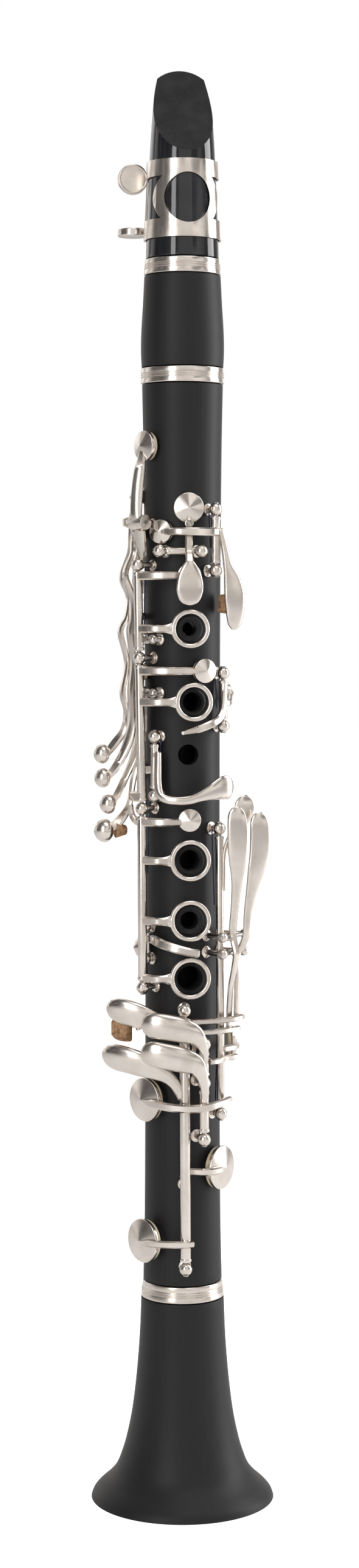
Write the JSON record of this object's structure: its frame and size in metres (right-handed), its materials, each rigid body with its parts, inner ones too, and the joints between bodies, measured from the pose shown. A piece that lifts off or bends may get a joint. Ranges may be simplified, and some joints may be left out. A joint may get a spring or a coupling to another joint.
{
  "type": "piccolo clarinet",
  "caption": "Small black clarinet with plated ring keys, a flared bell, a barrel, and a mouthpiece with its ligature and reed.",
  "frame": {"origin": "centre of the bell's flat rim, on the bore axis", "axes": "+Z along the bore towards the mouthpiece, -Y towards the finger holes, +X to the right seen from the finger holes"},
  "size_m": [0.0626, 0.0626, 0.4903],
  "materials": {
    "black_body": "brushed matt black",
    "mouthpiece_gloss": "polished black",
    "nickel_silver": "polished warm silver plate",
    "cork": "greased cork",
    "cane": "sanded cane",
    "pad_skin": "cream skin"
  },
  "bodies": {
    "body": {"body_tube": "black_body", "upper_tenon_cork": "cork", "lower_tenon_cork": "cork", "thumb_rest": "nickel_silver", "thumb_tube": "nickel_silver", "left_stack_posts": "nickel_silver", "csharp_posts": "nickel_silver", "throat_a_posts": "nickel_silver", "throat_gsharp_posts": "nickel_silver", "upper_sliver_posts": "nickel_silver", "register_posts": "nickel_silver", "upper_trill_posts": "nickel_silver", "lower_trill_posts": "nickel_silver", "lower_sliver_posts": "nickel_silver", "low_key_posts": "nickel_silver", "right_touch_posts": "nickel_silver", "right_stack_posts": "nickel_silver", "left_f_lever_posts": "nickel_silver", "left_e_lever_posts": "nickel_silver", "thumb_ring_posts": "nickel_silver"},
    "bell": {"bell": "black_body", "bell_ring": "nickel_silver"},
    "barrel": {"barrel": "black_body", "barrel_top_ring": "nickel_silver", "barrel_bottom_ring": "nickel_silver"},
    "mouthpiece": {"mouthpiece": "mouthpiece_gloss", "mouthpiece_tenon_cork": "cork", "reed": "cane"},
    "ligature": {"ligature_band": "nickel_silver"},
    "ligature_screw_upper": {"ligature_screw_upper": "nickel_silver"},
    "ligature_screw_lower": {"ligature_screw_lower": "nickel_silver"},
    "register_key": {"register_key": "nickel_silver", "register_pad": "pad_skin"},
    "throat_a_key": {"throat_a_key": "nickel_silver", "throat_a_pad": "pad_skin"},
    "throat_gsharp_key": {"throat_gsharp_key": "nickel_silver", "throat_gsharp_pad": "pad_skin"},
    "side_key_1": {"side_key_1": "nickel_silver"},
    "side_key_2": {"side_key_2": "nickel_silver"},
    "side_key_3": {"side_key_3": "nickel_silver"},
    "side_key_4": {"side_key_4": "nickel_silver"},
    "first_ring_key": {"first_ring_key": "nickel_silver"},
    "second_ring_key": {"second_ring_key": "nickel_silver"},
    "lower_ring_key": {"lower_ring_key": "nickel_silver"},
    "thumb_ring_key": {"thumb_ring_key": "nickel_silver"},
    "upper_sliver_key": {"upper_sliver_key": "nickel_silver"},
    "csharp_key": {"csharp_key": "nickel_silver"},
    "lower_sliver_key": {"lower_sliver_key": "nickel_silver"},
    "low_e_key": {"low_e_key": "nickel_silver", "low_e_pad": "pad_skin"},
    "low_f_key": {"low_f_key": "nickel_silver", "low_f_pad": "pad_skin"},
    "right_fsharp_lever": {"right_fsharp_lever": "nickel_silver"},
    "low_fsharp_key": {"low_fsharp_key": "nickel_silver", "low_fsharp_pad": "pad_skin"},
    "low_aflat_key": {"low_aflat_key": "nickel_silver", "low_aflat_pad": "pad_skin"},
    "left_f_lever": {"left_f_lever": "nickel_silver"},
    "left_e_lever": {"left_e_lever": "nickel_silver"}
  },
  "joints": [
    {"name": "register_key_press", "type": "hinge", "parent": "body", "child": "register_key", "pos_m": [-0.01455, -0.0138, 0.33396], "axis": [0.541, -0.841, 0], "range_deg": [0, 4.5], "stiffness_Nm_per_rad": 0.02, "springref_deg": -17.19},
    {"name": "throat_a_key_press", "type": "hinge", "parent": "body", "child": "throat_a_key", "pos_m": [-0.01018, -0.01503, 0.32415], "axis": [0.9806, -0.1959, 0], "range_deg": [0, 5], "stiffness_Nm_per_rad": 0.02, "springref_deg": -17.19},
    {"name": "throat_gsharp_key_press", "type": "hinge", "parent": "body", "child": "throat_gsharp_key", "pos_m": [0.00901, -0.015, 0.33841], "axis": [0, 0, 1], "range_deg": [0, 4.5], "stiffness_Nm_per_rad": 0.02, "springref_deg": -17.19},
    {"name": "side_key_1_press", "type": "hinge", "parent": "body", "child": "side_key_1", "pos_m": [-0.01165, -0.01165, 0.2943], "axis": [0.342, -0.9397, 0], "range_deg": [0, 3], "stiffness_Nm_per_rad": 0.02, "springref_deg": -17.19},
    {"name": "side_key_2_press", "type": "hinge", "parent": "body", "child": "side_key_2", "pos_m": [-0.01165, -0.01165, 0.2943], "axis": [0.342, -0.9397, 0], "range_deg": [0, 3], "stiffness_Nm_per_rad": 0.02, "springref_deg": -17.19},
    {"name": "side_key_3_press", "type": "hinge", "parent": "body", "child": "side_key_3", "pos_m": [-0.01165, -0.01165, 0.27599], "axis": [0.342, -0.9397, 0], "range_deg": [0, 3], "stiffness_Nm_per_rad": 0.02, "springref_deg": -17.19},
    {"name": "side_key_4_press", "type": "hinge", "parent": "body", "child": "side_key_4", "pos_m": [-0.01165, -0.01165, 0.27599], "axis": [0.342, -0.9397, 0], "range_deg": [0, 3], "stiffness_Nm_per_rad": 0.02, "springref_deg": -17.19},
    {"name": "first_ring_key_press", "type": "hinge", "parent": "body", "child": "first_ring_key", "pos_m": [-0.01711, -0.01073, 0.31955], "axis": [-0.016, 0.0079, 0.9998], "range_deg": [0, 3.5], "stiffness_Nm_per_rad": 0.02, "springref_deg": -17.19},
    {"name": "second_ring_key_press", "type": "hinge", "parent": "body", "child": "second_ring_key", "pos_m": [-0.01711, -0.01073, 0.31955], "axis": [-0.016, 0.0079, 0.9998], "range_deg": [0, 3.4], "stiffness_Nm_per_rad": 0.02, "springref_deg": -17.19},
    {"name": "lower_ring_key_press", "type": "hinge", "parent": "body", "child": "lower_ring_key", "pos_m": [-0.01579, -0.01139, 0.23689], "axis": [-0.005, 0.0047, 1], "range_deg": [0, 3.5], "stiffness_Nm_per_rad": 0.02, "springref_deg": -17.19},
    {"name": "thumb_ring_key_press", "type": "hinge", "parent": "body", "child": "thumb_ring_key", "pos_m": [-0.01005, 0.01241, 0.30789], "axis": [0, 0, -1], "range_deg": [0, 4.5], "stiffness_Nm_per_rad": 0.02, "springref_deg": -17.19},
    {"name": "upper_sliver_key_press", "type": "hinge", "parent": "body", "child": "upper_sliver_key", "pos_m": [0.01241, -0.01005, 0.28274], "axis": [0, 0, -1], "range_deg": [0, 5.5], "stiffness_Nm_per_rad": 0.02, "springref_deg": -17.19},
    {"name": "csharp_key_press", "type": "hinge", "parent": "body", "child": "csharp_key", "pos_m": [-0.01149, -0.01211, 0.26127], "axis": [0, 0, 1], "range_deg": [0, 4], "stiffness_Nm_per_rad": 0.02, "springref_deg": -17.19},
    {"name": "lower_sliver_key_press", "type": "hinge", "parent": "body", "child": "lower_sliver_key", "pos_m": [-0.01358, -0.00753, 0.19656], "axis": [0, 0, 1], "range_deg": [0, 5.5], "stiffness_Nm_per_rad": 0.02, "springref_deg": -17.19},
    {"name": "low_e_key_press", "type": "hinge", "parent": "body", "child": "low_e_key", "pos_m": [-0.0023, -0.01875, 0.16911], "axis": [0.0053, -0.0006, -1], "range_deg": [0, 6], "stiffness_Nm_per_rad": 0.02, "springref_deg": -17.19},
    {"name": "low_f_key_press", "type": "hinge", "parent": "body", "child": "low_f_key", "pos_m": [0.00419, -0.02043, 0.14488], "axis": [0, 0, -1], "range_deg": [0, 4], "stiffness_Nm_per_rad": 0.02, "springref_deg": -17.19},
    {"name": "right_fsharp_lever_press", "type": "hinge", "parent": "body", "child": "right_fsharp_lever", "pos_m": [0.00419, -0.02043, 0.15792], "axis": [0, 0, -1], "range_deg": [0, 5], "stiffness_Nm_per_rad": 0.02, "springref_deg": -17.19},
    {"name": "low_fsharp_key_press", "type": "hinge", "parent": "body", "child": "low_fsharp_key", "pos_m": [0.01057, -0.01329, 0.22999], "axis": [-0.0063, -0.0053, 1], "range_deg": [0, 5], "stiffness_Nm_per_rad": 0.02, "springref_deg": -17.19},
    {"name": "low_aflat_key_press", "type": "hinge", "parent": "body", "child": "low_aflat_key", "pos_m": [-0.00185, -0.01549, 0.16911], "axis": [0, 0, -1], "range_deg": [0, 6], "stiffness_Nm_per_rad": 0.02, "springref_deg": -17.19},
    {"name": "left_f_lever_press", "type": "hinge", "parent": "body", "child": "left_f_lever", "pos_m": [0.02012, -0.00896, 0.19365], "axis": [-0.6756, -0.7373, 0], "range_deg": [0, 1.6], "stiffness_Nm_per_rad": 0.02, "springref_deg": -17.19},
    {"name": "left_e_lever_press", "type": "hinge", "parent": "body", "child": "left_e_lever", "pos_m": [0.01941, -0.01041, 0.18797], "axis": [-0.7022, -0.712, 0], "range_deg": [0, 4.5], "stiffness_Nm_per_rad": 0.02, "springref_deg": -17.19},
    {"name": "bell_slide", "type": "slide", "parent": "body", "child": "bell", "axis": [0, 0, -1], "range_m": [0, 0.0142]},
    {"name": "barrel_slide", "type": "slide", "parent": "body", "child": "barrel", "axis": [0, 0, 1], "range_m": [0, 0.0132]},
    {"name": "mouthpiece_slide", "type": "slide", "parent": "barrel", "child": "mouthpiece", "axis": [0, 0, 1], "range_m": [0, 0.0128]},
    {"name": "ligature_slide", "type": "slide", "parent": "mouthpiece", "child": "ligature", "axis": [0, 0, 1], "range_m": [0, 0.008]},
    {"name": "ligature_screw_lower_turn", "type": "hinge", "parent": "ligature", "child": "ligature_screw_lower", "pos_m": [0, 0.015, 0.43556], "axis": [1, 0, 0], "continuous": true},
    {"name": "ligature_screw_upper_turn", "type": "hinge", "parent": "ligature", "child": "ligature_screw_upper", "pos_m": [0, 0.015, 0.45433], "axis": [1, 0, 0], "continuous": true}
  ],
  "couplings": [
    {"joint": "left_e_lever_press", "follows": "low_e_key_press", "ratio": 0.68},
    {"joint": "left_f_lever_press", "follows": "low_f_key_press", "ratio": 0.36},
    {"joint": "right_fsharp_lever_press", "follows": "low_fsharp_key_press", "ratio": 0.95}
  ]
}
